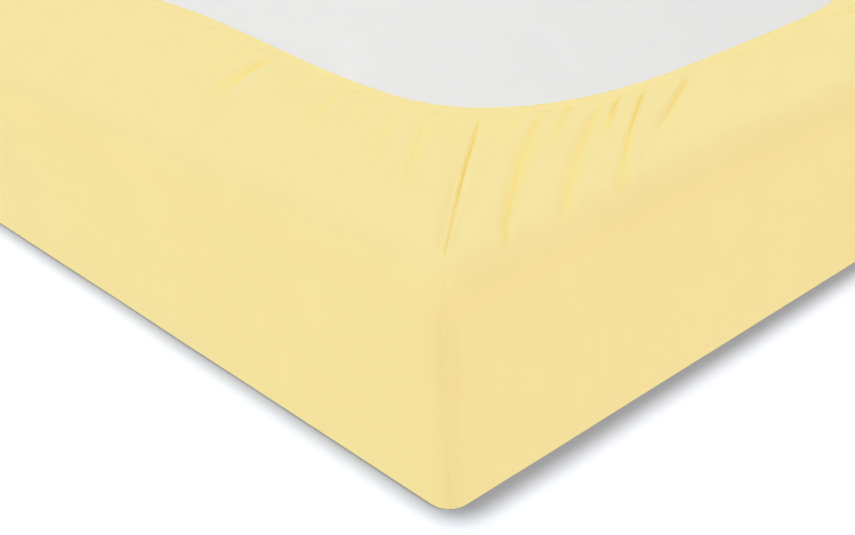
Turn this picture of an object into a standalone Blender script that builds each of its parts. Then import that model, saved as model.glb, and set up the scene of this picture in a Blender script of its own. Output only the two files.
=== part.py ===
"""A fitted sheet on a single mattress.

The covered mattress lies face down, as it does to show the elastic edge: the sheet's sleeping
panel is underneath, its drops run up the four sides, and the band that the elastic draws in lies
on the upper face, around the bare middle of the mattress. +X runs along the length, +Y across the
width and +Z up. The origin is the centre of the bottom, on the surface that the sheet lies on.

A place on the sheet is given by its corner, its column and its station. A column is a line of the
cloth from the elastic edge outwards, named by how far along the elastic it starts from the corner
seam: negative towards the middle of the long side, positive towards the middle of the end. The
station runs down that line: 0 to 1 on the turned-in band, 1 to 2 over the upper edge, 2 to 3 down
the side, and 3 to 4 round the lower edge.
"""

import math
from collections import namedtuple

import bmesh
import bpy
import numpy as np
from mathutils import Vector

# The covered mattress
LENGTH = 2.0
WIDTH = 0.9
HEIGHT = 0.15  # up to the plain part of the band, away from the puckers
CLOTH = 0.002
SEAT = 0.0003  # between the cloth and the mattress where they touch
BAND_CLEARANCE = 0.0025  # between the plain part of the band and the mattress
LOWEST_FOLD = -0.0017  # a fold's bottom, below the plain part of the band

# The sheet's rounded edges
CORNER_RADIUS = 0.0225  # of the upright edges
MITRE_RADIUS = 0.008  # what is left of it on the upper face
UPPER_EDGE = 0.028
LOWER_EDGE = 0.008

# The mattress's rounded edges: rounder than the cloth, which clears them
MATTRESS_UPRIGHT = 0.036
MATTRESS_UPPER = 0.034
MATTRESS_LOWER = 0.013
EDGE_SEGMENTS = 4

# The elastic edge: how far it lies in from the sides, and its round corners
END_INSET = 0.128
LONG_INSET = 0.188  # beside the corners
LONG_INSET_MIDDLE = 0.214  # towards the middle of the long side, where the edge bows in
BOW_REACH = 0.32
CORNER_ALONG_LONG = 0.147
CORNER_ALONG_END = 0.214
CORNER_SQUARENESS = 2.6  # 2 is an ellipse
SEAM_ANGLE = math.radians(33.6)  # where the corner seam meets the elastic's round corner
OUTLINE_STEPS = 60

# The puckers: the cloth stands off the mattress beside the corners, and folds draw it down
PUFF = 0.0055
PUFF_REACH = 0.30  # along the elastic
PUFF_END = 2  # the station where it has gone
PUFF_SKEW = 0.8  # under 1 brings the highest part nearer the elastic
FOLD_SKEW = 0.6  # and the same for a fold's deepest part
SHOULDER = 0.013  # from a fold's bottom to where it has risen
DEEP = 0.0042  # folds at least this deep get columns halfway up too
COLUMN_GAP = 0.004  # the least between two columns
UNEVEN_SHIFT = 0.005  # how far a fold moves from one corner of the sheet to another
UNEVEN_DEPTH = 0.35  # and what share of its depth changes

# A fold runs from its place on the elastic to its place on the side, between two stations
Fold = namedtuple("Fold", "elastic_at edge_at depth start end")
FOLDS = (
    Fold(elastic_at=-0.300, edge_at=-0.420, depth=0.0022, start=0.06, end=0.60),
    Fold(elastic_at=-0.222, edge_at=-0.306, depth=0.0042, start=0.04, end=1.10),
    Fold(elastic_at=-0.125, edge_at=-0.190, depth=0.0028, start=0.05, end=0.80),
    Fold(elastic_at=-0.066, edge_at=-0.099, depth=0.0030, start=0.06, end=0.85),
    Fold(elastic_at=-0.040, edge_at=-0.066, depth=0.0030, start=0.06, end=0.80),
    Fold(elastic_at=0.000, edge_at=0.000, depth=0.0070, start=0.04, end=1.70),
    Fold(elastic_at=0.046, edge_at=0.060, depth=0.0048, start=0.08, end=1.30),
    Fold(elastic_at=0.087, edge_at=0.118, depth=0.0038, start=0.05, end=0.95),
    Fold(elastic_at=0.136, edge_at=0.168, depth=0.0050, start=0.04, end=0.90),
    Fold(elastic_at=0.188, edge_at=0.222, depth=0.0044, start=0.04, end=0.55),
)
PLAIN_COLUMNS = (-0.62, -0.44, -0.019, 0.019)  # besides the folds' own columns
STATIONS = (0, 0.08, 0.2, 0.35, 0.55, 0.78, 1, 1.33, 1.67, 2, 3, 3.5, 4)

# A corner of the sheet: its side of the length, its side of the width, and its own unevenness
Corner = namedtuple("Corner", "along across phase")
CORNERS = (
    Corner(along=1, across=-1, phase=0),
    Corner(along=1, across=1, phase=1),
    Corner(along=-1, across=1, phase=2),
    Corner(along=-1, across=-1, phase=3),
)

SHEET_COLOUR = (0.913, 0.766, 0.366, 1)
MATTRESS_COLOUR = (0.806, 0.806, 0.806, 1)


def mix(start, end, share):
    return start + (end - start) * share


def smooth(share):
    share = min(max(share, 0), 1)
    return share * share * (3 - 2 * share)


def folds_of(corner):
    """The folds at one corner: the first has them as listed, and the others differ a little."""
    if corner.phase == 0:
        return FOLDS
    moved = []
    for i, fold in enumerate(FOLDS):
        is_seam = fold.elastic_at == 0
        shift = 0 if is_seam else UNEVEN_SHIFT * math.sin(1.9 * i + 2.3 * corner.phase)
        deeper = 1 + UNEVEN_DEPTH * math.sin(2.4 * i + 1.7 * corner.phase)
        moved.append(
            fold._replace(
                elastic_at=fold.elastic_at + shift,
                edge_at=fold.edge_at + shift,
                depth=fold.depth * (1 if is_seam else deeper),
            )
        )
    return tuple(moved)


def elastic_outline():
    """A quarter of the elastic edge, from the long side's middle to the end's, in plan.

    Points are distances in from the corner, along the length and along the width. Returns them
    with their lengths along the edge, measured from the seam.
    """
    centre = (END_INSET + CORNER_ALONG_LONG, LONG_INSET + CORNER_ALONG_END)
    points = []
    for i in range(OUTLINE_STEPS):
        share = i / OUTLINE_STEPS
        in_from_end = mix(LENGTH / 2, centre[0], share)
        bow = smooth((in_from_end - centre[0]) / BOW_REACH)
        points.append((in_from_end, mix(LONG_INSET, LONG_INSET_MIDDLE, bow)))
    for i in range(OUTLINE_STEPS + 1):
        turn = math.pi / 2 * i / OUTLINE_STEPS
        points.append(
            (
                centre[0] - CORNER_ALONG_LONG * math.sin(turn) ** (2 / CORNER_SQUARENESS),
                centre[1] - CORNER_ALONG_END * math.cos(turn) ** (2 / CORNER_SQUARENESS),
            )
        )
    points.append((END_INSET, WIDTH / 2))
    points = np.array(points)
    steps = np.linalg.norm(np.diff(points, axis=0), axis=1)
    lengths = np.concatenate([[0], np.cumsum(steps)])
    seam = OUTLINE_STEPS * (1 + SEAM_ANGLE / (math.pi / 2))
    return points, lengths - np.interp(seam, range(len(lengths)), lengths)


OUTLINE, OUTLINE_LENGTHS = elastic_outline()


def elastic_point(column):
    return np.array([np.interp(column, OUTLINE_LENGTHS, OUTLINE[:, i]) for i in range(2)])


def edge_point(edge_at, inset, radius):
    """A point of the sheet's outline at an inset, in plan, and the way it faces."""
    half_arc = math.pi / 4 * CORNER_RADIUS
    turn = math.pi / 4 + min(max(edge_at / CORNER_RADIUS, -math.pi / 4), math.pi / 4)
    outward = np.array([-math.sin(turn), -math.cos(turn)])
    point = inset + radius + radius * outward
    beyond = abs(edge_at) - half_arc
    if beyond > 0:
        axis = 0 if edge_at < 0 else 1
        middle = (LENGTH / 2, WIDTH / 2)[axis]
        squeeze = (middle - inset - radius) / (middle - CORNER_RADIUS)
        point[axis] += beyond * squeeze
    return point, outward


def edge_at_column(column, folds):
    """Where a column crosses the side: the folds' own places, and between them in proportion."""
    half_arc = math.pi / 4 * CORNER_RADIUS
    long_end = -(LENGTH / 2 - CORNER_RADIUS + half_arc)
    short_end = WIDTH / 2 - CORNER_RADIUS + half_arc
    starts = [OUTLINE_LENGTHS[0], *(fold.elastic_at for fold in folds), OUTLINE_LENGTHS[-1]]
    ends = [long_end, *(fold.edge_at for fold in folds), short_end]
    return float(np.interp(column, starts, ends))


def pucker(column, station, folds):
    """How far the cloth stands out from its plain shape."""
    arch = math.sin(math.pi * (min(station, PUFF_END) / PUFF_END) ** PUFF_SKEW)
    raised = PUFF * math.exp(-((column / PUFF_REACH) ** 2)) * arch
    for fold in folds:
        away = abs(column - fold.elastic_at) / SHOULDER
        if away < 1 and fold.start < station < fold.end:
            along = (station - fold.start) / (fold.end - fold.start)
            trough = (1 + math.cos(math.pi * away)) / 2
            raised -= fold.depth * trough * math.sin(math.pi * along**FOLD_SKEW)
    return max(raised, LOWEST_FOLD)


def sheet_point(corner, column, station, folds):
    """A point of the sheet's outer surface."""
    edge_at = edge_at_column(column, folds)
    if station <= 1:
        rim, _ = edge_point(edge_at, UPPER_EDGE, MITRE_RADIUS)
        plan = mix(elastic_point(column), rim, station)
        height, facing_out, facing_up = HEIGHT, 0, 1
    elif station <= 2:
        turn = math.pi / 2 * (station - 1)
        radius = mix(MITRE_RADIUS, CORNER_RADIUS, math.sin(turn))
        plan, _ = edge_point(edge_at, UPPER_EDGE * (1 - math.sin(turn)), radius)
        height = HEIGHT - UPPER_EDGE * (1 - math.cos(turn))
        facing_out, facing_up = math.sin(turn), math.cos(turn)
    elif station <= 3:
        plan, _ = edge_point(edge_at, 0, CORNER_RADIUS)
        height = mix(HEIGHT - UPPER_EDGE, LOWER_EDGE, station - 2)
        facing_out, facing_up = 1, 0
    else:
        turn = math.pi / 2 * (station - 3)
        inset = LOWER_EDGE * (1 - math.cos(turn))
        plan, _ = edge_point(edge_at, inset, CORNER_RADIUS - inset)
        height = LOWER_EDGE * (1 - math.sin(turn))
        facing_out, facing_up = math.cos(turn), 0
    _, outward = edge_point(edge_at, 0, CORNER_RADIUS)
    raised = pucker(column, station, folds)
    plan = plan + outward * facing_out * raised
    return Vector(
        (
            corner.along * (LENGTH / 2 - plan[0]),
            corner.across * (WIDTH / 2 - plan[1]),
            height + facing_up * raised,
        )
    )


def columns_of(folds):
    """The columns of one corner: each fold's bottom and sides, the crowns between, and more."""
    bottoms = [fold.elastic_at for fold in folds]
    sides = []
    for fold in folds:
        shares = (-1, -0.5, 0.5, 1) if fold.depth >= DEEP else (-1, 1)
        sides += [fold.elastic_at + share * SHOULDER for share in shares]
    crowns = [mix(a, b, 0.5) for a, b in zip(bottoms, bottoms[1:])]
    columns = list(bottoms)
    for column in (*sides, *PLAIN_COLUMNS, *crowns):
        if min(abs(column - other) for other in columns) > COLUMN_GAP:
            columns.append(column)
    return sorted(columns)


def new_object(name, bm, colour, roughness, collection):
    mesh = bpy.data.meshes.new(name)
    bm.to_mesh(mesh)
    bm.free()
    material = bpy.data.materials.new(name)
    material.use_nodes = True
    shader = material.node_tree.nodes["Principled BSDF"]
    shader.inputs["Base Color"].default_value = colour
    shader.inputs["Roughness"].default_value = roughness
    mesh.materials.append(material)
    obj = bpy.data.objects.new(name, mesh)
    collection.objects.link(obj)
    return obj


def around_the_sheet():
    """Every column of the sheet in order around it, as (corner, column, folds)."""
    around = []
    for corner in CORNERS:
        folds = folds_of(corner)
        columns = columns_of(folds)
        middle_of_long, middle_of_end = OUTLINE_LENGTHS[0], OUTLINE_LENGTHS[-1]
        run = [(corner, column, folds) for column in columns]
        run = [(corner, middle_of_long, folds), *run, (corner, middle_of_end, folds)]
        # Corners that turn the other way are walked backwards, and each run leaves out its last
        # column, which the next run starts with.
        if corner.along * corner.across > 0:
            run.reverse()
        around += run[:-1]
    return around


def fitted_sheet(collection):
    """The sheet: one open surface from the elastic edge down, given its thickness inwards."""
    bm = bmesh.new()
    around = around_the_sheet()
    rings = [
        [bm.verts.new(sheet_point(corner, column, station, folds)) for corner, column, folds in around]
        for station in STATIONS
    ]
    count = len(around)
    for upper, lower in zip(rings, rings[1:]):
        for i in range(count):
            j = (i + 1) % count
            bm.faces.new((upper[i], lower[i], lower[j], upper[j]))
    bm.faces.new(reversed(rings[-1]))  # the sleeping panel
    bmesh.ops.recalc_face_normals(bm, faces=bm.faces)
    sheet = new_object("fitted_sheet", bm, SHEET_COLOUR, 0.9, collection)
    sheet.data.shade_smooth()
    thicken = sheet.modifiers.new("cloth", "SOLIDIFY")
    thicken.thickness = CLOTH
    thicken.offset = -1
    return sheet


def mattress(collection):
    """The plain mattress: a block with its upright, upper and lower edges rounded in turn."""
    around = CLOTH + SEAT
    top = HEIGHT - CLOTH - BAND_CLEARANCE
    size = Vector((LENGTH - 2 * around, WIDTH - 2 * around, top - around))
    centre = Vector((0, 0, mix(around, top, 0.5)))
    bm = bmesh.new()
    bmesh.ops.create_cube(bm, size=1)
    for vert in bm.verts:
        vert.co = centre + Vector(a * b for a, b in zip(vert.co, size))

    def round_off(edges, radius):
        bmesh.ops.bevel(
            bm, geom=edges, offset=radius, segments=EDGE_SEGMENTS, profile=0.5, affect="EDGES"
        )

    def level_edges(height):
        return [e for e in bm.edges if all(abs(v.co.z - height) < SEAT / 2 for v in e.verts)]

    upright = [e for e in bm.edges if abs(e.verts[0].co.z - e.verts[1].co.z) > size.z / 2]
    round_off(upright, MATTRESS_UPRIGHT)
    round_off(level_edges(top), MATTRESS_UPPER)
    round_off(level_edges(around), MATTRESS_LOWER)
    block = new_object("mattress", bm, MATTRESS_COLOUR, 0.85, collection)
    block.data.shade_smooth()
    return block


def main():
    for obj in list(bpy.data.objects):
        bpy.data.objects.remove(obj)
    collection = bpy.data.collections.new("fitted_sheet_on_mattress")
    bpy.context.scene.collection.children.link(collection)
    fitted_sheet(collection)
    mattress(collection)


main()
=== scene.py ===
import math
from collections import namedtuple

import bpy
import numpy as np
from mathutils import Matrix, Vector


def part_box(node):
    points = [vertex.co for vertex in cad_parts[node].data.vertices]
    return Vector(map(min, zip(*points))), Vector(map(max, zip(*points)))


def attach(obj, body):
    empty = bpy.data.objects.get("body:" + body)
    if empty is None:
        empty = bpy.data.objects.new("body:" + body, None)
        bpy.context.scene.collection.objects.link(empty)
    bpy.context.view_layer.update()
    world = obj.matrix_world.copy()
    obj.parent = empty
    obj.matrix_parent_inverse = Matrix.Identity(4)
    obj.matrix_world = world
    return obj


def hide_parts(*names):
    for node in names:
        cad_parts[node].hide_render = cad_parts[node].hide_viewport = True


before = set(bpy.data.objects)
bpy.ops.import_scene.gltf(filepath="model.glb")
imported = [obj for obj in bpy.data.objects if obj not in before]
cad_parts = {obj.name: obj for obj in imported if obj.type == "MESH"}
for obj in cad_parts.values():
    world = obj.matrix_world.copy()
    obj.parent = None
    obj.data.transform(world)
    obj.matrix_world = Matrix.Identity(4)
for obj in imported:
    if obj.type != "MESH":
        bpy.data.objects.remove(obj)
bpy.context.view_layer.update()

# The looks of a fitted sheet on a single mattress that lies face down. The sheet is one thin
# cloth: a turned hem with the elastic inside, the band that it draws in over the mattress, the
# sides with a seam at each corner, and the sleeping panel underneath.
#
# The order here: sizes, the plain shape of the cloth, its relief, the sheet, its stitches, the
# mattress, the materials, then the camera, the floor, the light and the scene.
#
# A place on the cloth is given as in the part's source. A column is a line of the cloth from the
# elastic edge outwards, named by how far along the elastic it starts from the corner seam:
# negative towards the middle of the long side, positive towards the middle of the end. Its
# station runs 0 to 1 on the band, 1 to 2 over the upper edge, 2 to 3 down the side and 3 to 4
# round the lower edge.

SHEET_LOW, SHEET_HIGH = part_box("fitted_sheet")
BLOCK_LOW, BLOCK_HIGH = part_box("mattress")
MM = 0.001
QUARTER = math.pi / 2

# The covered mattress
LENGTH = SHEET_HIGH[0] - SHEET_LOW[0]
WIDTH = SHEET_HIGH[1] - SHEET_LOW[1]
HEIGHT = 0.150  # up to the plain part of the band
CORNER_RADIUS = 22.5 * MM
MITRE_RADIUS = 8 * MM
UPPER_EDGE = 28 * MM
LOWER_EDGE = 3 * MM
BASE_CORNER_RADIUS = 15 * MM  # the corner is tighter at the floor

# The elastic edge, in plan
END_INSET = 0.130
LONG_INSET = 0.190
LONG_INSET_MIDDLE = 0.216
BOW_REACH = 0.32
CORNER_ALONG_LONG = 0.147
CORNER_ALONG_END = 0.214
CORNER_SQUARENESS = 2.6
SEAM_ANGLE = math.radians(33.6)
OUTLINE_STEPS = 400

# The hem: the cloth is turned under round the elastic and sewn down
HEM_DROP = 0.6 * MM  # the elastic holds the hem nearer the mattress than the band
HEM_RISE = 26 * MM  # and the band has risen this far from it
# Rows of points across the hem and just past it, in mm from the edge
HEM_ROWS = (0, 0.25, 0.7, 1.4, 2.2, 4, 7, 10, 13, 15.4, 16.6, 17, 17.4, 18.6, 21, 25)
HEM_EDGE = 2.2 * MM  # the rounded fold at the very edge
HEM_THICKNESS = 2.4 * MM
HEM_ABOVE_BLOCK = 0.35 * MM
TURNED_UNDER = (16, 8, 3, 1.2)  # the rows of the part turned under, also in mm from the edge
STITCH_LINE = 17 * MM
# The stitches draw the cloth in a little along their line
STITCH_SINKS = 0.02 * MM
STITCH_SINK_WIDTH = 0.9 * MM
STITCH_LENGTH = 2.4 * MM
STITCH_PITCH = 3.2 * MM
STITCH_RADIUS = 0.18 * MM

# The cloth stands off the mattress beside the corners
PUFF = 6.0 * MM
PUFF_REACH = 0.30  # along the elastic
PUFF_END = 2  # the station where it has gone
PUFF_SKEW = 0.8  # under 1 brings the highest part nearer the elastic
# The lowest that any relief may go, at these stations
LOWEST_STATIONS = (0, 1, 1.5, 2, 4)
LOWEST_RELIEF = (-3.2 * MM, -3.6 * MM, -4.0 * MM, -1.4 * MM, -1.4 * MM)

# The corner seam on the side: a groove between two low swells
SEAM_WIDTH = 0.6 * MM
SEAM_DEPTH = 0.26 * MM
SEAM_SWELL = 0.08 * MM
SEAM_SWELL_AT = 3.2 * MM  # how far each swell lies from the groove
SEAM_STARTS = 1.0
SEAM_DEEPENS = 0.5  # over this much of a station
# How far the seam wanders along the side, at these stations
SEAM_SWAY_STATIONS = (1.2, 1.6, 2.0, 2.4, 2.7, 3.0)
SEAM_SWAY = (-0.3 * MM, -1.5 * MM, -2.3 * MM, -2.2 * MM, -1.5 * MM, -0.6 * MM)
SEAM_SWAY_REACH = 40 * MM

# Columns and rows of the mesh
COLUMN_SAMPLES = 4000
FINEST = 0.45 * MM  # between columns in the seam's fold
FINE = 0.8 * MM  # and in the other deep folds
FAR_CORNERS_COARSER = 1.5
NEAR_SPACING = 2.6 * MM
CORNER_SPACING = 4.0 * MM
FAR_SPACING = 11 * MM
FOLD_ZONE = 3 * MM  # how far out from a fold the columns stay as close
SPACING_GROWS = 0.16  # and how fast they spread from there
DEEP_FOLD = 1.3  # in millimetres: only folds this deep get close columns
CORNER_REACH = 0.34  # past this the cloth is plain and the columns are far apart
REACH_FADES = 0.16
END_FADES = 0.03  # the relief fades out over this at the middle of the end
BAND_ROWS = 30
EDGE_ROWS = 12
SIDE_ROWS = 9
LOWER_ROWS = 3

# A fold: where it starts on the elastic and where it reaches the upper edge, in metres; then in
# millimetres how far it bows to the seam's side and drifts along the side as it goes over the
# edge; the stations where it starts and ends; its depths and half widths at four even places
# from start to end; and the depth of the wide hollow that it lies in. A ridge has depths below 0.
# The fold in the deepest hollow runs into the corner seam
Fold = namedtuple("Fold", "elastic_at edge_at bow drift start end depths widths hollow")
SEAM_FOLD = Fold(
    -0.001, 0.0058, 3.6, -4, 0.07, 1.20, (1.1, 1.9, 1.1, 0.3), (0.9, 1.1, 1.2, 1.2), 3.0
)
FOLDS = (
    Fold(-0.345, -0.450, 2, 0, 0.10, 0.60, (0.4, 0.4, 0.3, 0.1), (4.0, 5.0, 6.0, 6.0), 0.0),
    Fold(-0.306, -0.400, 3, 0, 0.12, 0.50, (1.2, 0.8, 0.4, 0.1), (2.5, 3.0, 5.0, 6.0), 0.0),
    Fold(-0.264, -0.345, 5, 0, 0.10, 0.75, (0.7, 0.8, 0.6, 0.2), (3.0, 5.0, 6.0, 8.0), 0.0),
    Fold(-0.231, -0.296, 8, 0, 0.13, 0.84, (3.2, 2.6, 0.8, 0.3), (4.0, 4.2, 6.0, 8.0), 0.6),
    Fold(-0.214, -0.276, 8, 0, 0.16, 0.70, (-0.4, -0.7, -0.5, 0.0), (4.0, 4.0, 4.0, 4.0), 0.0),
    Fold(-0.168, -0.235, 3, 0, 0.10, 0.50, (0.6, 0.6, 0.4, 0.1), (3.0, 5.0, 6.0, 6.0), 0.0),
    Fold(-0.125, -0.180, 3, 0, 0.10, 0.66, (1.0, 1.3, 1.1, 0.3), (2.5, 3.5, 5.0, 6.0), 0.0),
    Fold(-0.092, -0.140, 2, 0, 0.10, 0.50, (0.5, 0.7, 0.5, 0.1), (3.0, 5.0, 5.0, 6.0), 0.0),
    Fold(-0.066, -0.094, 2, 0, 0.10, 0.70, (0.8, 1.1, 0.8, 0.2), (3.0, 4.0, 5.0, 6.0), 0.0),
    Fold(-0.038, -0.052, 3, 0, 0.10, 0.80, (1.0, 1.3, 1.2, 0.2), (3.0, 4.0, 5.0, 6.0), 0.0),
    Fold(-0.020, -0.027, 2, 0, 0.10, 0.45, (0.8, 0.9, 0.5, 0.1), (3.0, 4.0, 5.0, 6.0), 0.0),
    SEAM_FOLD,
    Fold(0.013, 0.018, 3, -8, 0.10, 0.35, (0.8, 0.7, 0.4, 0.1), (2.0, 2.5, 3.0, 4.0), 0.0),
    Fold(0.025, 0.032, 3, -16, 0.10, 0.40, (0.8, 1.2, 0.8, 0.1), (2.0, 2.5, 3.0, 4.0), 0.0),
    Fold(0.0452, 0.0624, 5.2, -27, 0.07, 1.32, (1.8, 2.4, 2.4, 2.1), (0.9, 4.0, 2.7, 1.3), 1.0),
    Fold(0.0645, 0.0757, 0, -31, 0.06, 0.48, (1.5, 1.5, 1.1, 0.2), (1.5, 2.0, 2.6, 4.0), 0.0),
    Fold(0.0960, 0.1175, 5.6, -44, 0.10, 1.40, (1.5, 2.1, 2.0, 0.9), (2.0, 4.0, 4.0, 3.0), 0.5),
    Fold(0.1088, 0.1392, 1.2, -44, 0.10, 0.62, (1.9, 2.0, 1.2, 0.5), (1.2, 1.5, 2.5, 4.0), 0.0),
    Fold(0.1352, 0.1708, 3.7, -42, 0.13, 1.36, (2.3, 2.0, 1.4, 0.7), (1.5, 1.8, 3.0, 4.0), 0.4),
    Fold(0.1560, 0.1810, 2, -40, 0.12, 0.28, (1.2, 1.2, 0.6, 0.1), (1.6, 2.0, 2.5, 4.0), 0.0),
    Fold(0.1940, 0.1925, 3.6, -38, 0.18, 0.78, (1.9, 2.2, 1.6, 0.4), (2.0, 2.6, 3.4, 4.0), 0.4),
    Fold(0.2260, 0.3300, 1, -16, 0.10, 0.50, (0.8, 0.7, 0.4, 0.1), (3.0, 4.0, 5.0, 6.0), 0.0),
)
FOLD_PLACES = (0, 1 / 3, 2 / 3, 1)
FOLD_OPENS = 0.08  # the share of a fold's length over which it opens
FOLD_CLOSES = 0.12
FOLD_SHARPNESS = 1.2  # 1 is a sharp crease and 2 a round one
FOLD_FLANK = 0.28  # the share of the depth in the soft flanks of the crease
FOLD_FLANK_WIDTH = 3.2  # in the crease's own half widths, as is the next distance
FOLD_CROWN_AT = 3.4
FOLD_CROWN = 0.19  # the crowns' height as a share of the depth
HOLLOW_WIDTH = 14 * MM
HOLLOW_OPENS = 0.25
# The share of the full painted crease shade that each millimetre of depth gives: a part that is
# the same in all folds, and a part that is divided by the fold's half width in millimetres,
# because a narrow fold holds more of the light that is caught between its flanks
SHADE_PER_DEPTH = 0.11 / MM
SHADE_NARROW = 0.60 / MM
# The gathered cloth near the elastic is a little deeper in colour too, as painted shade
HEM_SHADE = 0.17
HEM_SHADE_FADES = 70 * MM

# Each corner of the sheet: its side along X and across Y, and the seed by which its folds differ
# from the ones above
Corner = namedtuple("Corner", "along across seed")
CORNERS = (
    Corner(1, -1, 0),
    Corner(1, 1, 11),
    Corner(-1, 1, 23),
    Corner(-1, -1, 37),
)
UNEVEN_SHIFT = 2 * MM
UNEVEN_SPREAD = (0.92, 1.02)  # all the folds of a corner lie this much closer or wider
UNEVEN_DEPTH = 0.35

# Puckers along the seam, small gathers all along the elastic, and slow waves in the cloth
Waves = namedtuple("Waves", "height shortest longest")
SEAM_PUCKERS = Waves(0.09 * MM, 8 * MM, 20 * MM)
GATHERS = Waves(0.16 * MM, 9 * MM, 26 * MM)
GATHER_FADES = 40 * MM
BAND_WAVES = Waves(0.45 * MM, 60 * MM, 160 * MM)
SIDE_WAVES = Waves(0.3 * MM, 120 * MM, 400 * MM)
SIDE_WAVES_START = 1.5  # the station where they start
SIDE_WAVES_SPAN = 2  # and over how many stations they rise and fall
WAVE_COUNT = 9
# What each kind of wave adds to its corner's seed
GATHER_SEED = 1
BAND_SEED = 2
SIDE_SEED = 3
PUCKER_SEED = 4

# The mattress's own surface
BLOCK_UPRIGHT = 36 * MM
BLOCK_UPPER = 34 * MM
BLOCK_LOWER = 13 * MM
BLOCK_GRID = 5 * MM
BLOCK_EDGE_ROWS = 6
# Soft strokes in the mattress's face: the points that each runs through, in metres
Stroke = namedtuple("Stroke", "points height width")
STROKES = (
    Stroke(((0.556, -0.180), (0.548, -0.168)), 0.9 * MM, 9 * MM),
    Stroke(((0.595, -0.187), (0.637, -0.217), (0.692, -0.261)), 0.9 * MM, 8 * MM),
    Stroke(((0.700, -0.063), (0.727, -0.063), (0.764, -0.090), (0.807, -0.123)), 0.8 * MM, 7 * MM),
    Stroke(((0.690, 0.010), (0.735, 0.020)), 0.7 * MM, 6 * MM),
    Stroke(((0.330, 0.120), (0.290, 0.050), (0.300, 0.000)), 0.9 * MM, 8 * MM),
    Stroke(((0.120, -0.140), (0.060, -0.110), (0.010, -0.130)), 0.8 * MM, 8 * MM),
    Stroke(((-0.160, 0.080), (-0.210, 0.110), (-0.240, 0.160)), 0.9 * MM, 7 * MM),
    Stroke(((-0.400, -0.060), (-0.460, -0.090), (-0.520, -0.080)), 0.8 * MM, 8 * MM),
    Stroke(((-0.660, 0.130), (-0.640, 0.060), (-0.670, 0.010)), 0.9 * MM, 7 * MM),
    Stroke(((-0.760, -0.130), (-0.700, -0.180)), 0.7 * MM, 8 * MM),
)
STROKE_SAMPLES = 24


def mix(start, end, share):
    return start + (end - start) * share


def smooth(share):
    share = np.clip(share, 0, 1)
    return share * share * (3 - 2 * share)


def uneven(waves, places, seed):
    """A smooth uneven line, made of waves of lengths between the shortest and the longest."""
    rng = np.random.default_rng(seed)
    total = np.zeros_like(places)
    for _ in range(WAVE_COUNT):
        length = mix(waves.shortest, waves.longest, rng.random())
        total += np.sin(2 * np.pi * (places / length + rng.random()))
    return waves.height * total / math.sqrt(WAVE_COUNT)


# ---------------------------------------------------------------- the plain shape of the cloth


def elastic_outline():
    """A quarter of the elastic edge in plan, as distances in from the corner, with lengths."""
    centre = (END_INSET + CORNER_ALONG_LONG, LONG_INSET + CORNER_ALONG_END)
    straight = np.linspace(LENGTH / 2, centre[0], OUTLINE_STEPS, endpoint=False)
    bow = smooth((straight - centre[0]) / BOW_REACH)
    side = np.stack([straight, mix(LONG_INSET, LONG_INSET_MIDDLE, bow)], 1)
    turn = np.linspace(0, QUARTER, OUTLINE_STEPS)
    power = 2 / CORNER_SQUARENESS
    arc_a = centre[0] - CORNER_ALONG_LONG * np.sin(turn) ** power
    arc_b = centre[1] - CORNER_ALONG_END * np.abs(np.cos(turn)) ** power
    points = np.concatenate([side, np.stack([arc_a, arc_b], 1), [[END_INSET, WIDTH / 2]]])
    steps = np.linalg.norm(np.diff(points, axis=0), axis=1)
    lengths = np.concatenate([[0], np.cumsum(steps)])
    seam = OUTLINE_STEPS + SEAM_ANGLE / QUARTER * (OUTLINE_STEPS - 1)
    return points, lengths - np.interp(seam, range(len(lengths)), lengths)


OUTLINE, OUTLINE_LENGTHS = elastic_outline()
HALF_ARC = math.pi / 4 * CORNER_RADIUS
EDGE_ENDS = (-(LENGTH / 2 - CORNER_RADIUS + HALF_ARC), WIDTH / 2 - CORNER_RADIUS + HALF_ARC)


def elastic_plan(column):
    return np.stack([np.interp(column, OUTLINE_LENGTHS, OUTLINE[:, i]) for i in range(2)], -1)


def edge_plan(edge_at, inset, radius):
    """Points of the outline at an inset, in plan, and the way they face."""
    turn = math.pi / 4 + np.clip(edge_at / CORNER_RADIUS, -math.pi / 4, math.pi / 4)
    outward = np.stack([-np.sin(turn), -np.cos(turn)], -1)
    point = (inset + radius)[..., None] + radius[..., None] * outward
    beyond = np.maximum(np.abs(edge_at) - HALF_ARC, 0)
    for axis, middle in enumerate((LENGTH / 2, WIDTH / 2)):
        this_side = (edge_at < 0) if axis == 0 else (edge_at > 0)
        squeeze = (middle - inset - radius) / (middle - CORNER_RADIUS)
        point[..., axis] += np.where(this_side, beyond * squeeze, 0)
    return point, outward


def plain_shape(column, edge_at, station):
    """The cloth without its relief: places in from the corner and up, and the way they face."""
    over = QUARTER * np.clip(station - 1, 0, 1)
    under = QUARTER * np.clip(station - 3, 0, 1)
    lower_inset = LOWER_EDGE * (1 - np.cos(under))
    inset = UPPER_EDGE * (1 - np.sin(over)) + lower_inset
    radius = mix(MITRE_RADIUS, CORNER_RADIUS, np.sin(over)) - lower_inset
    radius -= (CORNER_RADIUS - BASE_CORNER_RADIUS) * smooth(station / 2 - 1)
    rim, outward = edge_plan(edge_at, inset, radius)
    plan = mix(elastic_plan(column), rim, np.clip(station, 0, 1)[..., None])
    height = HEIGHT - UPPER_EDGE * (1 - np.cos(over))
    height -= (HEIGHT - UPPER_EDGE - LOWER_EDGE) * np.clip(station - 2, 0, 1)
    height -= LOWER_EDGE * np.sin(under)
    facing_out = np.sin(over) * np.cos(under)
    facing_up = np.cos(over) * (station < 2) - np.sin(under)
    normal = np.concatenate([outward * facing_out[..., None], facing_up[..., None]], -1)
    return np.concatenate([plan, height[..., None]], -1), normal


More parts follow.
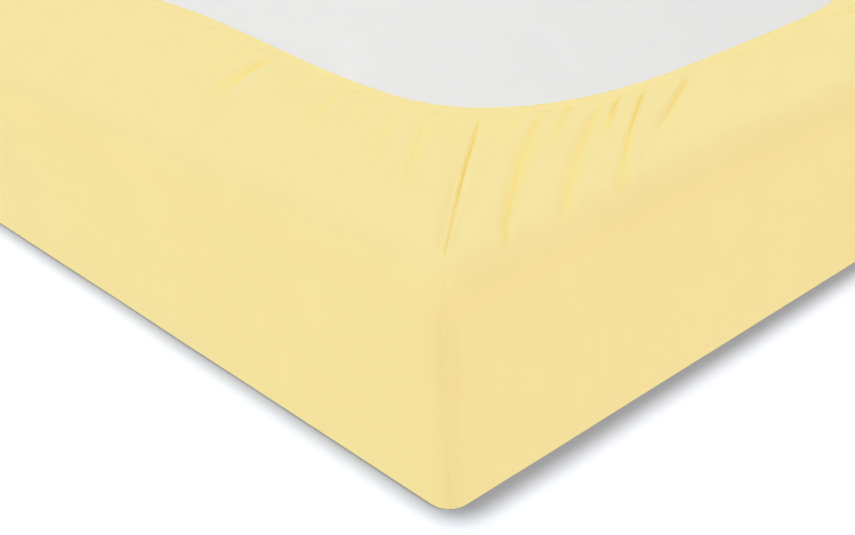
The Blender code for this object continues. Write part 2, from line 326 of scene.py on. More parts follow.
def hem_rounding(distance):
    """How much the hem's rounded fold takes off its height, this far from the very edge."""
    near_edge = np.clip(1 - distance / HEM_EDGE, 0, 1)
    return HEM_THICKNESS / 2 * (1 - np.sqrt(1 - near_edge**2))


# ---------------------------------------------------------------- the relief of the cloth


class CornerCloth:
    """The cloth round one corner, from the middle of its long side to the middle of its end."""

    def __init__(self, corner):
        self.corner = corner
        self.folds = self.uneven_folds()
        starts = [fold.elastic_at for fold in self.folds]
        self.starts = [OUTLINE_LENGTHS[0], *starts, OUTLINE_LENGTHS[-1]]

    def uneven_folds(self):
        """The near corner has the folds as listed, and at the others they differ a little."""
        if self.corner.seed == 0:
            return FOLDS
        rng = np.random.default_rng(self.corner.seed)
        spread = rng.uniform(*UNEVEN_SPREAD)
        return tuple(self.uneven_fold(fold, spread, *rng.uniform(-1, 1, 2)) for fold in FOLDS)

    def uneven_fold(self, fold, spread, shift, deeper):
        if fold is SEAM_FOLD:
            return fold
        scale = 1 + UNEVEN_DEPTH * deeper
        return fold._replace(
            elastic_at=fold.elastic_at * spread + shift * UNEVEN_SHIFT,
            edge_at=fold.edge_at * spread + shift * UNEVEN_SHIFT,
            depths=tuple(depth * scale for depth in fold.depths),
            hollow=fold.hollow * scale,
        )

    def between_folds(self, column, name, ends=(0, 0)):
        """A value that each fold gives, at any column."""
        values = [getattr(fold, name) for fold in self.folds]
        return np.interp(column, self.starts, [ends[0], *values, ends[1]])

    def edge_at(self, column):
        """Where a column crosses the upper edge."""
        return self.between_folds(column, "edge_at", EDGE_ENDS)

    def band_line(self, column):
        """A column's line across the band, in plan, from the elastic to the upper edge."""
        edge_at = self.edge_at(column)
        inset = np.full_like(edge_at, UPPER_EDGE)
        rim, _ = edge_plan(edge_at, inset, np.full_like(edge_at, MITRE_RADIUS))
        return rim - elastic_plan(column)

    def band_length(self, column):
        return np.linalg.norm(self.band_line(column), axis=-1)

    def fold_relief(self, fold, column, station):
        """The trough of one fold, with a low crown each side."""
        away_at_edge = self.edge_at(column) - fold.edge_at
        away = np.abs(mix(column - fold.elastic_at, away_at_edge, np.clip(station, 0, 1)))
        share = np.clip((station - fold.start) / (fold.end - fold.start), 0, 1)
        depth = np.interp(share, FOLD_PLACES, fold.depths) * MM
        depth = depth * smooth(share / FOLD_OPENS) * smooth((1 - share) / FOLD_CLOSES)
        reach = away / (np.interp(share, FOLD_PLACES, fold.widths) * MM)
        crease = np.exp(-(reach**FOLD_SHARPNESS))
        flank = np.exp(-((reach / FOLD_FLANK_WIDTH) ** 2))
        crown = np.exp(-((reach - FOLD_CROWN_AT) ** 2))
        return depth * (FOLD_CROWN * crown - mix(crease, flank, FOLD_FLANK))

    def hollow_relief(self, fold, column, station):
        """The wide hollow round a fold."""
        away_at_edge = self.edge_at(column) - fold.edge_at
        away = mix(column - fold.elastic_at, away_at_edge, np.clip(station, 0, 1))
        share = np.clip((station - fold.start) / (fold.end - fold.start), 0, 1)
        opened = smooth(share / HOLLOW_OPENS) * smooth((1 - share) / HOLLOW_OPENS)
        return -fold.hollow * MM * opened * np.exp(-((away / HOLLOW_WIDTH) ** 2))

    def seam_relief(self, column, station, height):
        """The corner seam on the side: a narrow groove between two swells, a little puckered."""
        away = np.abs(self.edge_at(column) - SEAM_FOLD.edge_at)
        groove = SEAM_DEPTH * np.exp(-((away / SEAM_WIDTH) ** 2))
        swell = SEAM_SWELL * np.exp(-((away / SEAM_SWELL_AT - 1) ** 2))
        pucker = uneven(SEAM_PUCKERS, height, self.corner.seed + PUCKER_SEED)
        pucker = pucker * np.exp(-away / (2 * SEAM_SWELL_AT))
        return smooth((station - SEAM_STARTS) / SEAM_DEEPENS) * (swell + pucker - groove)

    def relief(self, column, station, height):
        """How far the cloth stands out from its plain shape."""
        seed = self.corner.seed
        band = np.clip(station, 0, 1)
        inward = band * self.band_length(column)
        from_hem = np.maximum(inward - STITCH_LINE, 0)
        risen = smooth(from_hem / HEM_RISE)
        arch = np.sin(np.pi * (np.clip(station, 0, PUFF_END) / PUFF_END) ** PUFF_SKEW)
        raised = PUFF * np.exp(-((column / PUFF_REACH) ** 2)) * arch * risen
        raised = raised + sum(self.fold_relief(fold, column, station) for fold in self.folds)
        raised = raised + sum(self.hollow_relief(fold, column, station) for fold in self.folds)
        edge_at = self.edge_at(column)
        along = mix(column, edge_at, band)
        gathers = uneven(GATHERS, along, seed + GATHER_SEED)
        raised = raised + gathers * np.exp(-inward / GATHER_FADES) * (station < 1)
        raised = raised + uneven(BAND_WAVES, along, seed + BAND_SEED) * np.sin(np.pi * band) * risen
        side = np.sin(np.pi * np.clip((station - SIDE_WAVES_START) / SIDE_WAVES_SPAN, 0, 1))
        raised = raised + uneven(SIDE_WAVES, edge_at, seed + SIDE_SEED) * side
        raised = raised * smooth((OUTLINE_LENGTHS[-1] - column) / END_FADES)
        raised = raised * smooth((column - OUTLINE_LENGTHS[0]) / REACH_FADES)
        raised = np.maximum(raised, np.interp(station, LOWEST_STATIONS, LOWEST_RELIEF))
        stitched = np.exp(-(((inward - STITCH_LINE) / STITCH_SINK_WIDTH) ** 2))
        raised = raised - HEM_DROP * (1 - risen) - STITCH_SINKS * stitched * (station < 1)
        return raised + self.seam_relief(column, station, height)

    def shade(self, column, station):
        """How deep the painted shade is: below 0 in creases and near the elastic, above 0 painted
        light on crowns.
        """
        inward = np.clip(station, 0, 1) * self.band_length(column)
        shade = 0
        for fold in self.folds:
            share = SHADE_PER_DEPTH + SHADE_NARROW / fold.widths[1]
            shade = shade + self.fold_relief(fold, column, station) * share
        return shade - HEM_SHADE * np.exp(-inward / HEM_SHADE_FADES)

    def place(self, points):
        """Points given in from the corner, in the object's own frame."""
        x = self.corner.along * (LENGTH / 2 - points[..., 0])
        y = self.corner.across * (WIDTH / 2 - points[..., 1])
        return np.stack([x, y, points[..., 2]], -1)

    def bow(self, column, station):
        """How far the cloth's lines bow to the seam's side on the band."""
        return self.between_folds(column, "bow") * MM * np.sin(np.pi * np.clip(station, 0, 1))

    def drift(self, column, station):
        """How far the cloth's lines have drifted along the side, below the upper edge."""
        drift = self.between_folds(column, "drift") * MM * np.clip(station - 1, 0, 1)
        sway = np.interp(station, SEAM_SWAY_STATIONS, SEAM_SWAY)
        return drift + sway * np.exp(-((column / SEAM_SWAY_REACH) ** 2))

    def points(self, column, station):
        column = np.broadcast_to(column, station.shape)
        bow = self.bow(column, station)
        edge_at = self.edge_at(column) - bow + self.drift(column, station)
        plain, normal = plain_shape(column - bow, edge_at, station)
        raised = self.relief(column, station, plain[..., 2])
        points = plain + normal * raised[..., None]
        points[..., 2] -= hem_rounding(station * self.band_length(column))
        return self.place(points)

    def under_points(self, column):
        """The part of the hem that is turned under, from its cut edge out to the fold."""
        start = elastic_plan(column)
        line = self.band_line(column)
        out = line / np.linalg.norm(line, axis=-1, keepdims=True)
        rows = []
        for distance in TURNED_UNDER:
            plan = start + out * distance * MM
            lift = hem_rounding(distance * MM)
            height = np.full(len(column), BLOCK_HIGH[2] + HEM_ABOVE_BLOCK + lift)
            rows.append(np.concatenate([plan, height[:, None]], -1))
        return self.place(np.array(rows))

    # ------------------------------------------------------------ its rows and columns

    def columns(self):
        """Columns close together at the folds and wide apart in the plain stretches."""
        places = np.linspace(OUTLINE_LENGTHS[0], OUTLINE_LENGTHS[-1], COLUMN_SAMPLES)
        near = self.corner.seed == 0
        far_off = smooth((np.abs(places) - CORNER_REACH) / REACH_FADES)
        spacing = mix(NEAR_SPACING if near else CORNER_SPACING, FAR_SPACING, far_off)
        for fold in self.folds:
            if max(fold.depths) < DEEP_FOLD:
                continue
            finest = (FINEST if fold is SEAM_FOLD else FINE) * (1 if near else FAR_CORNERS_COARSER)
            away = np.maximum(np.abs(places - fold.elastic_at) - FOLD_ZONE, 0)
            spacing = np.minimum(spacing, finest + SPACING_GROWS * away)
        count = np.concatenate([[0], np.cumsum(np.diff(places) / spacing[1:])])
        steps = int(round(count[-1]))
        columns = np.interp(np.linspace(0, count[-1], steps + 1), count, places)
        columns[np.argmin(np.abs(columns - SEAM_FOLD.elastic_at))] = SEAM_FOLD.elastic_at
        return columns

    def stations(self, band_length):
        """The stations of the rows: set distances on the hem, then even steps to the floor."""
        hem_rows = np.array(HEM_ROWS)[:, None] * MM / band_length[None, :]
        share = np.linspace(0, 1, BAND_ROWS + 1)[1:, None]
        counts = enumerate((EDGE_ROWS, SIDE_ROWS, LOWER_ROWS), start=1)
        rest = [np.linspace(first, first + 1, count + 1)[1:] for first, count in counts]
        rest_rows = np.repeat(np.concatenate(rest)[:, None], len(band_length), 1)
        return np.concatenate([hem_rows, mix(hem_rows[-1][None, :], 1, share), rest_rows])

    def rows(self):
        """The corner's points and their places on the flat cloth, a row for each ring."""
        column = self.columns()
        length = self.band_length(column)
        station = self.stations(length)
        points = np.concatenate([self.under_points(column), self.points(column, station)])
        arcs = QUARTER * UPPER_EDGE, HEIGHT - UPPER_EDGE - LOWER_EDGE, QUARTER * LOWER_EDGE
        beyond = np.interp(station, (1, 2, 3, 4), np.concatenate([[0], np.cumsum(arcs)]))
        down = np.clip(station, 0, 1) * length + beyond
        along = mix(column, self.edge_at(column), np.clip(station, 0, 1))
        along = along - self.bow(column, station) + self.drift(column, station)
        turned = -np.array(TURNED_UNDER)[:, None] * MM * np.ones_like(column)
        along = np.concatenate([np.repeat(column[None, :], len(TURNED_UNDER), 0), along])
        shade = self.shade(np.broadcast_to(column, station.shape), station)
        shade = np.concatenate([np.zeros_like(turned), shade])
        return points, np.stack([along, np.concatenate([turned, down]), shade], -1)


# ---------------------------------------------------------------- the sheet


def new_piece(name, verts, faces):
    mesh = bpy.data.meshes.new(name)
    mesh.from_pydata(verts, [], faces)
    piece = bpy.data.objects.new(name, mesh)
    bpy.context.scene.collection.objects.link(piece)
    mesh.shade_smooth()
    return piece


def keep_values(piece, name, values):
    """A value for each point, kept with the mesh for its material."""
    kept = piece.data.attributes.new(name, "FLOAT", "POINT")
    kept.data.foreach_set("value", np.asarray(values, np.float32).ravel())


def cloth_rings():
    """Rings round the whole sheet: their points, and their places on the flat cloth with painted
    shade.
    """
    parts = []
    for corner in CORNERS:
        points, flat = CornerCloth(corner).rows()
        if corner.along * corner.across > 0:
            points, flat = points[:, ::-1], flat[:, ::-1]
        parts.append((points[:, :-1], flat[:, :-1]))
    rings = np.concatenate([points for points, _ in parts], 1)
    return rings, np.concatenate([flat for _, flat in parts], 1)


def make_sheet():
    """The rings, each joined to the next, with the last one filled as the sleeping panel."""
    rings, flat = cloth_rings()
    rows, count = rings.shape[:2]
    index = np.arange(rows * count).reshape(rows, count)
    after = np.roll(index, -1, axis=1)
    quads = np.stack([index[:-1], index[1:], after[1:], after[:-1]], -1).reshape(-1, 4)
    panel = index[-1][::-1]
    sheet = new_piece("sheet", rings.reshape(-1, 3).tolist(), [*quads.tolist(), panel.tolist()])
    layer = sheet.data.uv_layers.new(name="cloth")
    on_sides = flat[..., :2].reshape(-1, 2)[quads.ravel()]
    on_panel = rings[-1][::-1][:, :2]
    layer.data.foreach_set("uv", np.concatenate([on_sides, on_panel]).astype(np.float32).ravel())
    # The painted shade of the creases and painted light of the crowns, for the cloth's colour
    keep_values(sheet, "painted_fold_shade", flat[..., 2])
    return sheet


# ---------------------------------------------------------------- the stitches


def make_stitches():
    """The row of stitches that closes the hem: one small thread after another."""
    verts = []
    faces = []
    for corner in CORNERS:
        cloth = CornerCloth(corner)
        count = int((OUTLINE_LENGTHS[-1] - OUTLINE_LENGTHS[0]) / STITCH_PITCH)
        places = np.linspace(OUTLINE_LENGTHS[0], OUTLINE_LENGTHS[-1], count, endpoint=False)
        ends = []
        for end in (0, 1):
            column = places + (STITCH_PITCH - STITCH_LENGTH) / 2 + end * STITCH_LENGTH
            ends.append(cloth.points(column, STITCH_LINE / cloth.band_length(column)))
        for start, end in zip(*ends):
            add_stitch(verts, faces, start, end)
    return new_piece("hem_stitches", verts, faces)


# Rings of a stitch: how far along it, and its lift and radius as shares of the thread's radius
StitchRing = namedtuple("StitchRing", "along lift radius")
STITCH_RINGS = (
    StitchRing(0.0, -0.4, 0.5),
    StitchRing(0.25, 0.7, 1.0),
    StitchRing(0.75, 0.7, 1.0),
    StitchRing(1.0, -0.4, 0.5),
)
THREAD_SIDES = 4


def add_stitch(verts, faces, start, end):
    """A thread that comes up out of the cloth, lies along it and goes down again."""
    ahead = (end - start) / np.linalg.norm(end - start)
    up = np.array([0.0, 0.0, 1.0])
    side = np.cross(ahead, up)
    first = len(verts)
    for ring in STITCH_RINGS:
        centre = mix(start, end, ring.along) + up * ring.lift * STITCH_RADIUS
        for turn in range(THREAD_SIDES):
            angle = turn * 2 * math.pi / THREAD_SIDES
            arm = side * math.cos(angle) + up * math.sin(angle)
            verts.append((centre + arm * STITCH_RADIUS * ring.radius).tolist())
    for ring_start in range(first, len(verts) - THREAD_SIDES, THREAD_SIDES):
        for turn in range(THREAD_SIDES):
            a = ring_start + turn
            b = ring_start + (turn + 1) % THREAD_SIDES
            faces.append((b, a, a + THREAD_SIDES, b + THREAD_SIDES))
    faces.append(tuple(range(first, first + THREAD_SIDES)))
    faces.append(tuple(reversed(range(len(verts) - THREAD_SIDES, len(verts)))))


# ---------------------------------------------------------------- the mattress


def stroke_points(points):
    """Even points along a stroke's bends."""
    points = np.array(points)
    places = np.linspace(0, len(points) - 1, STROKE_SAMPLES)
    return np.stack([np.interp(places, range(len(points)), points[:, i]) for i in range(2)], -1)


def stroke_height(x, y):
    """The soft strokes in the mattress's face."""
    height = np.zeros_like(x)
    for stroke in STROKES:
        points = stroke_points(stroke.points)
        away = np.min([np.hypot(x - px, y - py) for px, py in points], axis=0)
        height = np.maximum(height, stroke.height * np.exp(-((away / stroke.width) ** 2)))
    return height


def mattress_levels(top, bottom):
    """How far out of the flat face, and how high, each ring of the mattress's side lies."""
    turns = np.linspace(0, QUARTER, BLOCK_EDGE_ROWS + 1)[1:]
    upper = [(BLOCK_UPPER * math.sin(t), top - BLOCK_UPPER * (1 - math.cos(t))) for t in turns]
    lower = [
        (BLOCK_UPPER - BLOCK_LOWER * (1 - math.cos(t)), bottom + BLOCK_LOWER * (1 - math.sin(t)))
        for t in turns[1::2]
    ]
    return [*upper, (BLOCK_UPPER, bottom + BLOCK_LOWER), *lower]


def ring_facing(ring, inner):
    """Where the rounded corners of a rim turn from, and which way each of its points faces."""
    small = BLOCK_UPRIGHT - BLOCK_UPPER
    centre = np.clip(ring[:, :2], -(inner - small), inner - small)
    facing = ring[:, :2] - centre
    facing = facing / np.linalg.norm(facing, axis=1, keepdims=True)
    return centre + facing * small, facing


def mattress_face(inner):
    """A grid for the upper face, and how far each of its points is raised by a stroke."""
    counts = [int(round(2 * inner[i] / BLOCK_GRID)) + 1 for i in range(2)]
    x, y = np.meshgrid(*[np.linspace(-inner[i], inner[i], counts[i]) for i in range(2)])
    raised = stroke_height(x, y)
    height = BLOCK_HIGH[2] - max(stroke.height for stroke in STROKES) + raised
    return np.stack([x, y, height], -1), raised


def make_mattress():
    """A grid for the face, rings for the rounded sides and one face underneath."""
    half = (np.array(BLOCK_HIGH) - np.array(BLOCK_LOW)) / 2
    inner = half[:2] - BLOCK_UPPER
    grid, raised = mattress_face(inner)
    verts = grid.reshape(-1, 3)
    index = np.arange(len(verts)).reshape(raised.shape)
    faces = np.stack([index[:-1, :-1], index[:-1, 1:], index[1:, 1:], index[1:, :-1]], -1)
    faces = faces.reshape(-1, 4).tolist()
    rim = np.concatenate([index[0, :-1], index[:-1, -1], index[-1, :0:-1], index[:0:-1, 0]])
    start, facing = ring_facing(verts[rim], inner)
    verts = verts.tolist()
    previous = rim.tolist()
    for out, level in mattress_levels(BLOCK_HIGH[2], BLOCK_LOW[2]):
        first = len(verts)
        verts += [[*place, level] for place in (start + facing * out).tolist()]
        current = list(range(first, len(verts)))
        after = [*current[1:], current[0]], [*previous[1:], previous[0]]
        faces += [list(quad) for quad in zip(previous, current, *after)]
        previous = current
    faces.append(previous[::-1])
    mattress = new_piece("mattress_cover", verts, faces)
    sides = np.zeros(len(verts) - raised.size)
    # Painted light on the raised strokes, for the ticking's colour
    keep_values(mattress, "stroke_painted_light", np.concatenate([raised.ravel() / MM, sides]))
    return mattress


# ---------------------------------------------------------------- materials


# What is the same all over a material
Finish = namedtuple("Finish", "colour roughness specular sheen sheen_roughness")
# How strongly a height bends the light, and how high it stands
Relief = namedtuple("Relief", "strength distance")


def new_material(name, finish):
    material = bpy.data.materials.new(name)
    material.use_nodes = True
    shader = material.node_tree.nodes["Principled BSDF"]
    shader.inputs["Base Color"].default_value = (*finish.colour, 1)
    shader.inputs["Roughness"].default_value = finish.roughness
    shader.inputs["Specular IOR Level"].default_value = finish.specular
    shader.inputs["Sheen Weight"].default_value = finish.sheen
    shader.inputs["Sheen Roughness"].default_value = finish.sheen_roughness
    return material, material.node_tree, shader


def add_node(tree, kind, **settings):
    """A new node. A setting is one of its properties, or else an input, with _ for a space."""
    node = tree.nodes.new("ShaderNode" + kind)
    for name, value in settings.items():
        if hasattr(node, name):
            setattr(node, name, value)
        else:
            node.inputs[name.replace("_", " ")].default_value = value
    return node


def colour_ramp(tree, source, stops):
    """Colours picked by a value from 0 to 1."""
    ramp = add_node(tree, "ValToRGB")
    elements = ramp.color_ramp.elements
    while len(elements) < len(stops):
        elements.new(1)
    for element, (position, colour) in zip(elements, stops):
        element.position = position
        element.color = (*colour, 1)
    tree.links.new(source, ramp.inputs["Fac"])
    return ramp.outputs["Color"]


# A Mix node's sockets for colours, by number because several share a name
MIX_FACTOR = 0
MIX_COLOURS = (6, 7)
MIX_RESULT = 2


def multiplied(tree, *colours):
    """The product of two colours."""
    node = add_node(tree, "Mix", data_type="RGBA", blend_type="MULTIPLY", clamp_factor=True)
    node.inputs[MIX_FACTOR].default_value = 1
    for socket, colour in zip(MIX_COLOURS, colours):
        tree.links.new(colour, node.inputs[socket])
    return node.outputs[MIX_RESULT]


def attribute(tree, name, low, high):
    """A value kept with the mesh, stretched to run from 0 to 1."""
    kept = add_node(tree, "Attribute", attribute_name=name)
    spread = add_node(tree, "MapRange", From_Min=low, From_Max=high)
    tree.links.new(kept.outputs["Fac"], spread.inputs["Value"])
    return spread.outputs["Result"]


NOISE_DETAIL = 2.0


def noise(tree, coords, scale, stretch=(1, 1, 1)):
    """Noise in features per metre, stretched along some axes."""
    mapping = add_node(tree, "Mapping", Scale=stretch)
    tree.links.new(coords, mapping.inputs["Vector"])
    texture = add_node(tree, "TexNoise", Scale=scale, Detail=NOISE_DETAIL)
    tree.links.new(mapping.outputs["Vector"], texture.inputs["Vector"])
    return texture.outputs["Fac"]


WAVE_PERIOD = math.pi / 10  # the period of a wave texture at a scale of 1
WAVE_DETAIL = 1.0
WAVE_DETAIL_SCALE = 0.4


def threads(tree, coords, direction, pitch, distortion):
    """Rounded threads side by side."""
    texture = add_node(
        tree,
        "TexWave",
        bands_direction=direction,
        Scale=WAVE_PERIOD / pitch,
        Distortion=distortion,
        Detail=WAVE_DETAIL,
        Detail_Scale=WAVE_DETAIL_SCALE,
    )
    tree.links.new(coords, texture.inputs["Vector"])
    return texture.outputs["Fac"]


def combined(tree, operation, first, second):
    """Two values, or a value and a number, added or multiplied."""
    node = add_node(tree, "Math", operation=operation)
    for i, value in enumerate((first, second)):
        if isinstance(value, (int, float)):
            node.inputs[i].default_value = value
        else:
            tree.links.new(value, node.inputs[i])
    return node.outputs["Value"]


def bumped(tree, height, relief, below=None):
    """A normal bent by a height, over another bump."""
    bump = add_node(tree, "Bump", Strength=relief.strength, Distance=relief.distance)
    tree.links.new(height, bump.inputs["Height"])
    if below:
        tree.links.new(below, bump.inputs["Normal"])
    return bump.outputs["Normal"]


# The sheet: a fine plain weave of slightly uneven cotton threads, with painted shade in its creases
# and painted light on its crowns
SHEET_COLOUR = (0.875, 0.724, 0.331)
PAINTED_DEEP_CREASE_SHADE = (0.895, 0.662, 0.150)
PAINTED_CREASE_SHADE = (0.895, 0.725, 0.250)
PAINTED_CROWN_LIGHT = (0.885, 0.742, 0.380)
SHEET_FINISH = Finish(SHEET_COLOUR, 0.9, 0.2, 0.08, 0.4)
PAINTED_SHADE_RANGE = (-1.0, 0.25)  # of the painted shade kept with the mesh, from deep creases to painted light on crowns
PAINTED_FOLD_STOPS = (
    (0.0, PAINTED_DEEP_CREASE_SHADE),
    (0.28, PAINTED_CREASE_SHADE),
    (0.8, SHEET_COLOUR),
    (1.0, PAINTED_CROWN_LIGHT),
)
THREAD_PITCH = 0.45 * MM
WEAVE_DISTORTION = 0.6
SLUB_SCALE = 160
SLUB_STRETCH = (0.05, 8)  # along the threads and across them
PILL_SCALE = 420
SHEET_SLUB_RELIEF = Relief(0.25, 0.15 * MM)
SHEET_WEAVE_RELIEF = Relief(0.35, 0.06 * MM)
PILL_RELIEF = Relief(0.15, 0.1 * MM)
MOTTLE_SCALE = 14
TONE_STOPS = ((0.30, (0.965, 0.962, 0.945)), (0.70, (1.0, 1.0, 1.0)))
MOTTLE_STOPS = ((0.25, (0.988, 0.986, 0.970)), (0.75, (1.0, 1.0, 1.0)))
ROUGH_STOPS = ((0.3, (0.84, 0.84, 0.84)), (0.7, (0.95, 0.95, 0.95)))


def weave_height(tree, coords, pitch):
    """Threads that cross, over and under each other."""
    warp = threads(tree, coords, "X", pitch, WEAVE_DISTORTION)
    weft = threads(tree, coords, "Y", pitch, WEAVE_DISTORTION)
    return combined(tree, "MULTIPLY", warp, weft)


def slubs(tree, coords):
    """Threads that are thicker or thinner for several centimetres, both ways of the cloth."""
    along = noise(tree, coords, SLUB_SCALE, (*SLUB_STRETCH, 1))
    across = noise(tree, coords, SLUB_SCALE, (*SLUB_STRETCH[::-1], 1))
    return combined(tree, "MULTIPLY", combined(tree, "ADD", along, across), 1 / 2)


def cloth_material():
    material, tree, shader = new_material("sheet_cloth", SHEET_FINISH)
    coords = add_node(tree, "UVMap", uv_map="cloth").outputs["UV"]
    slub = slubs(tree, coords)
    # Painted shade darkens the creases and painted light lifts the crowns
    colour = colour_ramp(tree, attribute(tree, "painted_fold_shade", *PAINTED_SHADE_RANGE), PAINTED_FOLD_STOPS)
    colour = multiplied(tree, colour, colour_ramp(tree, slub, TONE_STOPS))
    mottle = noise(tree, coords, MOTTLE_SCALE)
    colour = multiplied(tree, colour, colour_ramp(tree, mottle, MOTTLE_STOPS))
    tree.links.new(colour, shader.inputs["Base Color"])
    tree.links.new(colour_ramp(tree, slub, ROUGH_STOPS), shader.inputs["Roughness"])
    normal = bumped(tree, slub, SHEET_SLUB_RELIEF)
    weave = weave_height(tree, coords, THREAD_PITCH)
    normal = bumped(tree, weave, SHEET_WEAVE_RELIEF, normal)
    normal = bumped(tree, noise(tree, coords, PILL_SCALE), PILL_RELIEF, normal)
    tree.links.new(normal, shader.inputs["Normal"])
    return material


# The thread of the hem's stitches: two strands twisted together, darker in the twist's grooves as
# painted shade, and a little lighter than the sheet as painted light against the threads' own
# shadows
THREAD_LIFTED_BY_PAINTED_LIGHT = (0.930, 0.785, 0.375)
THREAD_GROOVE_SHADE_COLOUR = (0.900, 0.750, 0.350)
THREAD_FINISH = Finish(THREAD_LIFTED_BY_PAINTED_LIGHT, 0.7, 0.2, 0.1, 0.5)
THREAD_GROOVE_SHADE_STOPS = ((0.0, THREAD_GROOVE_SHADE_COLOUR), (1.0, THREAD_LIFTED_BY_PAINTED_LIGHT))
TWIST_PITCH = 0.5 * MM
TWIST_DISTORTION = 0.2
TWIST_RELIEF = Relief(0.4, 0.05 * MM)


def thread_material():
    material, tree, shader = new_material("sheet_thread", THREAD_FINISH)
    coords = add_node(tree, "TexCoord").outputs["Object"]
    twist = threads(tree, coords, "DIAGONAL", TWIST_PITCH, TWIST_DISTORTION)
    tree.links.new(colour_ramp(tree, twist, THREAD_GROOVE_SHADE_STOPS), shader.inputs["Base Color"])
    tree.links.new(bumped(tree, twist, TWIST_RELIEF), shader.inputs["Normal"])
    return material


# The mattress's ticking: a plain, slightly coarser weave, with painted light on its soft strokes
TICKING_COLOUR = (0.763, 0.748, 0.734)
STROKE_PAINTED_LIGHT = (0.783, 0.768, 0.754)
TICKING_FINISH = Finish(TICKING_COLOUR, 0.85, 0.2, 0.05, 0.5)
TICKING_PITCH = 0.8 * MM
TICKING_SLUB_RELIEF = Relief(0.3, 0.2 * MM)
TICKING_WEAVE_RELIEF = Relief(0.4, 0.1 * MM)
TICKING_PAINTED_LIGHT_STOPS = ((0.0, TICKING_COLOUR), (1.0, STROKE_PAINTED_LIGHT))
TICKING_TONE_STOPS = ((0.3, (0.975, 0.975, 0.975)), (0.7, (1.0, 1.0, 1.0)))
DRIFT_LENGTH = 1.1  # the ticking's tone rises and falls slowly over this length
DRIFT_TURN = math.radians(-40)
DRIFT_START = 0.30
DRIFT_STOPS = ((0.0, (0.945, 0.945, 0.945)), (1.0, (1.0, 1.0, 1.0)))


def ticking_material():
    material, tree, shader = new_material("mattress_ticking", TICKING_FINISH)
    coords = add_node(tree, "TexCoord").outputs["Object"]
    slub = slubs(tree, coords)
    # The strokes' crowns are lighter: painted light
    colour = colour_ramp(tree, attribute(tree, "stroke_painted_light", 0, 1), TICKING_PAINTED_LIGHT_STOPS)
    colour = multiplied(tree, colour, colour_ramp(tree, slub, TICKING_TONE_STOPS))
    turn, start = (0, 0, DRIFT_TURN), (DRIFT_START, 0, 0)
    turned = add_node(tree, "Mapping", Rotation=turn, Location=start)
    tree.links.new(coords, turned.inputs["Vector"])
    drift = threads(tree, turned.outputs["Vector"], "X", DRIFT_LENGTH, 0)
    colour = multiplied(tree, colour, colour_ramp(tree, drift, DRIFT_STOPS))
    tree.links.new(colour, shader.inputs["Base Color"])
    normal = bumped(tree, slub, TICKING_SLUB_RELIEF)
    weave = weave_height(tree, coords, TICKING_PITCH)
    normal = bumped(tree, weave, TICKING_WEAVE_RELIEF, normal)
    tree.links.new(normal, shader.inputs["Normal"])
    return material


# The floor is plain and matt, and its slight glow lightens the shadow
FLOOR_SIZE = 80
FLOOR_COLOUR = (0.275, 0.282, 0.288)
FLOOR_FINISH = Finish(FLOOR_COLOUR, 0.9, 0.0, 0.0, 0.5)
FLOOR_GLOW = 0.14
FLOOR_GLOW_COLOUR = (0.50, 0.62, 1.0)


def floor_material():
    material, _, shader = new_material("floor", FLOOR_FINISH)
    shader.inputs["Emission Color"].default_value = (*FLOOR_GLOW_COLOUR, 1)
    shader.inputs["Emission Strength"].default_value = FLOOR_GLOW
    return material


# ---------------------------------------------------------------- camera, floor and light

# The camera, fitted to the photograph's frame: 855 by 535 pixels
CAMERA_LENS = 54.40
CAMERA_SENSOR = 36
CAMERA_PLACE = (1.4559, -0.8498, 0.4872)
CAMERA_AZIMUTH = math.radians(49.20)
CAMERA_PITCH = math.radians(27.77)
CAMERA_ROLL = math.radians(-3.11)


def make_camera():
    data = bpy.data.cameras.new("camera")
    data.sensor_width = CAMERA_SENSOR
    data.lens = CAMERA_LENS
    camera = bpy.data.objects.new("camera", data)
    level = math.cos(CAMERA_PITCH)
    across, along = -math.sin(CAMERA_AZIMUTH) * level, math.cos(CAMERA_AZIMUTH) * level
    ahead = Vector((across, along, -math.sin(CAMERA_PITCH)))
    aim = ahead.to_track_quat("-Z", "Y").to_matrix().to_4x4()
    roll = Matrix.Rotation(CAMERA_ROLL, 4, "Z")
    camera.matrix_world = Matrix.Translation(CAMERA_PLACE) @ aim @ roll
    bpy.context.scene.collection.objects.link(camera)
    bpy.context.scene.camera = camera


def make_floor():
    bpy.ops.mesh.primitive_plane_add(size=FLOOR_SIZE)
    floor = bpy.context.object
    floor.name = "floor"
    floor.data.materials.append(floor_material())
    # The bounce light stands for the light off the floor, with no dip where the shadow lies
    floor.visible_diffuse = False
    floor.visible_shadow = False
    floor_only = bpy.data.collections.new("floor_only")
    floor_only.objects.link(floor)
    return floor_only


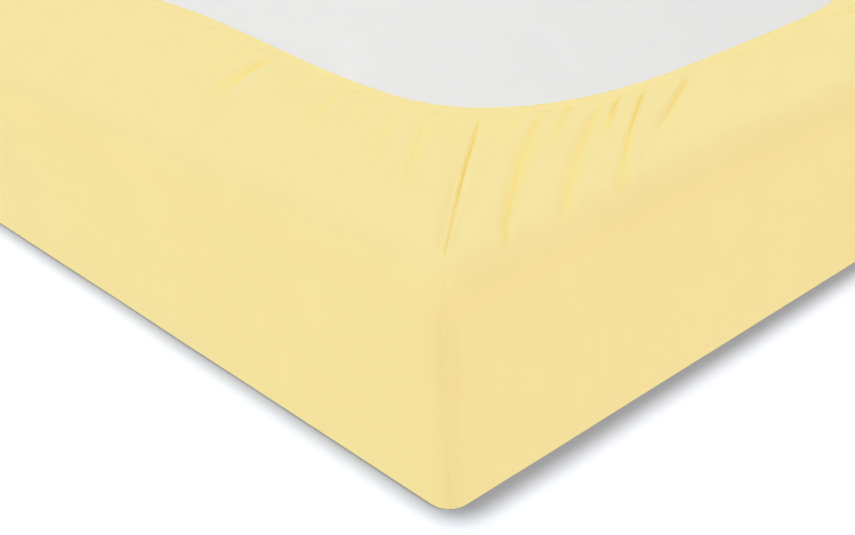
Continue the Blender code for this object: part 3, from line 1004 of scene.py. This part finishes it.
# Soft distant lights, with angles in degrees. An azimuth of 0 is the -Y side and 90 the +X side.
# The bounce comes from below, and stands for the light off a white floor. The floor has two lights
# of its own, nearly overhead, so that the shadow stays as narrow as in the photograph
Light = namedtuple("Light", "name azimuth elevation width strength colour floor_only")
WHITE = (1, 1, 1)
COOL = (0.37, 0.67, 1)
FRONT_WARM = (1, 0.792, 0.699)
LEFT_WARM = (0.932, 1, 0.733)
RIGHT_WARM = (1, 0.932, 0.744)
BACK_WARM = (1, 0.75, 0.45)
BOUNCE_COOL = (0.903, 0.951, 1)
LIGHTS = (
    Light("top", 0, 88, 60, 1.18, COOL, False),
    Light("front", 50, 45, 50, 1.717, FRONT_WARM, False),
    Light("left", -35, 25, 40, 1.117, LEFT_WARM, False),
    Light("right", 130, 25, 40, 0.979, RIGHT_WARM, False),
    Light("back", 200, 30, 50, 0.40, WHITE, False),
    Light("back_left", 240, 45, 50, 0.85, WHITE, False),
    Light("back_low", 225, 10, 20, 0.50, BACK_WARM, False),
    Light("bounce", 0, -90, 180, 3.83, BOUNCE_COOL, False),
    Light("floor_near", -104, 85.0, 9, 4.5, WHITE, True),
    Light("floor_wide", -114, 80.8, 13, 4.0, WHITE, True),
)
WORLD_STRENGTH = 1.0
# The rays that don't meet the world, which is there only as the white beyond the floor
WORLD_HIDDEN_FROM = ("diffuse", "glossy", "transmission", "scatter")


def add_sun(light, floor_only):
    data = bpy.data.lights.new(light.name, "SUN")
    data.energy = light.strength
    data.angle = math.radians(light.width)
    data.color = light.colour
    sun = bpy.data.objects.new(light.name, data)
    if light.floor_only:
        sun.light_linking.receiver_collection = floor_only
    azimuth, elevation = math.radians(light.azimuth), math.radians(light.elevation)
    level = math.cos(elevation)
    source = Vector(
        (math.sin(azimuth) * level, -math.cos(azimuth) * level, math.sin(elevation))
    )
    sun.rotation_euler = (-source).to_track_quat("-Z", "Y").to_euler()
    bpy.context.scene.collection.objects.link(sun)


def make_light(floor_only):
    world = bpy.data.worlds.new("world")
    world.use_nodes = True
    background = world.node_tree.nodes["Background"]
    background.inputs["Color"].default_value = (*WHITE, 1)
    background.inputs["Strength"].default_value = WORLD_STRENGTH
    for rays in WORLD_HIDDEN_FROM:
        setattr(world.cycles_visibility, rays, False)
    bpy.context.scene.world = world
    bpy.context.scene.view_settings.view_transform = "Standard"
    for light in LIGHTS:
        add_sun(light, floor_only)


# ---------------------------------------------------------------- the scene

make_camera()
floor_only = make_floor()
make_light(floor_only)

sheet = make_sheet()
sheet.data.materials.append(cloth_material())
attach(sheet, "root")
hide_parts("fitted_sheet")

stitches = make_stitches()
stitches.data.materials.append(thread_material())
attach(stitches, "root")

mattress = make_mattress()
mattress.data.materials.append(ticking_material())
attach(mattress, "root")
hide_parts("mattress")
